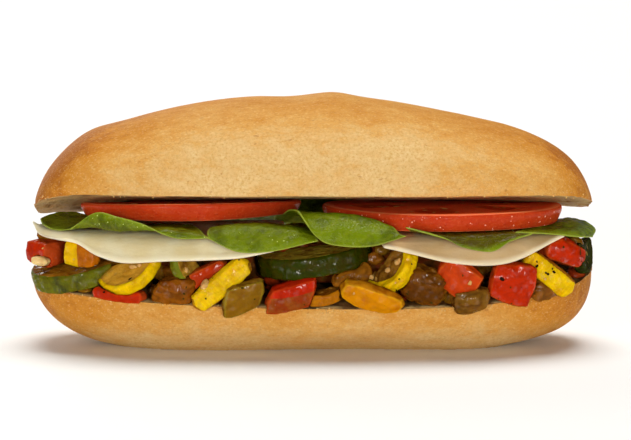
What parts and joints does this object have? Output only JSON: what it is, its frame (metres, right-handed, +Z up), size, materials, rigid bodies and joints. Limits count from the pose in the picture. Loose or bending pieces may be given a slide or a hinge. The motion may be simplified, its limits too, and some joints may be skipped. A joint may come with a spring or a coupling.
{
  "type": "submarine sandwich",
  "caption": "Long soft roll cut through and filled with roasted mixed vegetables, sliced cheese, spinach leaves and tomato slices.",
  "frame": {"origin": "on the table under the middle of the sandwich: the centre of the bounding box's bottom face, which is on the flat under the lower half of the roll", "axes": "+X along the roll, to the right when the fuller side of the filling faces the viewer; +Y away from that side, towards the back of the roll; +Z up"},
  "size_m": [0.2026, 0.0936, 0.0892],
  "materials": {
    "crust": "baked crust, matt",
    "tomato": "wet cut tomato",
    "spinach": "fresh leaf, waxy",
    "cheese": "smooth sliced cheese, satin",
    "garlic": "chopped, pale",
    "squash": "roasted, oiled",
    "red_pepper": "roasted, oiled",
    "green_pepper": "roasted, oiled",
    "orange_pepper": "roasted, oiled",
    "zucchini": "roasted, oiled",
    "eggplant": "roasted, oiled",
    "onion": "browned, translucent",
    "roasted_mix": "packed roasted vegetables, oiled"
  },
  "bodies": {
    "root": {"bun_upper": "crust", "bun_lower": "crust", "tomato_left": "tomato", "tomato_right": "tomato", "leaf_tip_left": "spinach", "leaf_left": "spinach", "leaf_middle": "spinach", "leaf_curl": "spinach", "leaf_hanging": "spinach", "leaf_tip_right": "spinach", "leaf_back_left": "spinach", "leaf_back_middle": "spinach", "leaf_back_right": "spinach", "cheese_left": "cheese", "cheese_right": "cheese", "garlic_left": "garlic", "squash_strip_left": "squash", "squash_strip_right": "squash", "red_pepper_right": "red_pepper", "red_pepper_middle": "red_pepper", "red_pepper_low": "red_pepper", "green_pepper_low": "green_pepper", "orange_pepper_low": "orange_pepper", "squash_half_left": "squash", "squash_half_middle": "squash", "zucchini_left": "zucchini", "zucchini_middle": "zucchini", "red_pepper_end_right": "red_pepper", "red_pepper_end_left": "red_pepper", "squash_end_left": "squash", "eggplant_low": "eggplant", "eggplant_middle": "eggplant", "onion_left": "onion", "zucchini_small": "zucchini", "red_pepper_strip": "red_pepper", "red_pepper_bottom": "red_pepper", "squash_half_low": "squash", "onion_middle": "onion", "eggplant_end_right": "eggplant", "zucchini_end_right": "zucchini", "eggplant_right": "eggplant", "onion_end_left": "onion", "zucchini_back_1": "zucchini", "red_pepper_back_2": "red_pepper", "squash_back_3": "squash", "eggplant_back_4": "eggplant", "orange_pepper_back_5": "orange_pepper", "zucchini_back_6": "zucchini", "red_pepper_back_7": "red_pepper", "squash_back_8": "squash", "eggplant_back_9": "eggplant", "orange_pepper_back_10": "orange_pepper", "zucchini_back_11": "zucchini", "vegetable_core": "roasted_mix"}
  },
  "joints": []
}
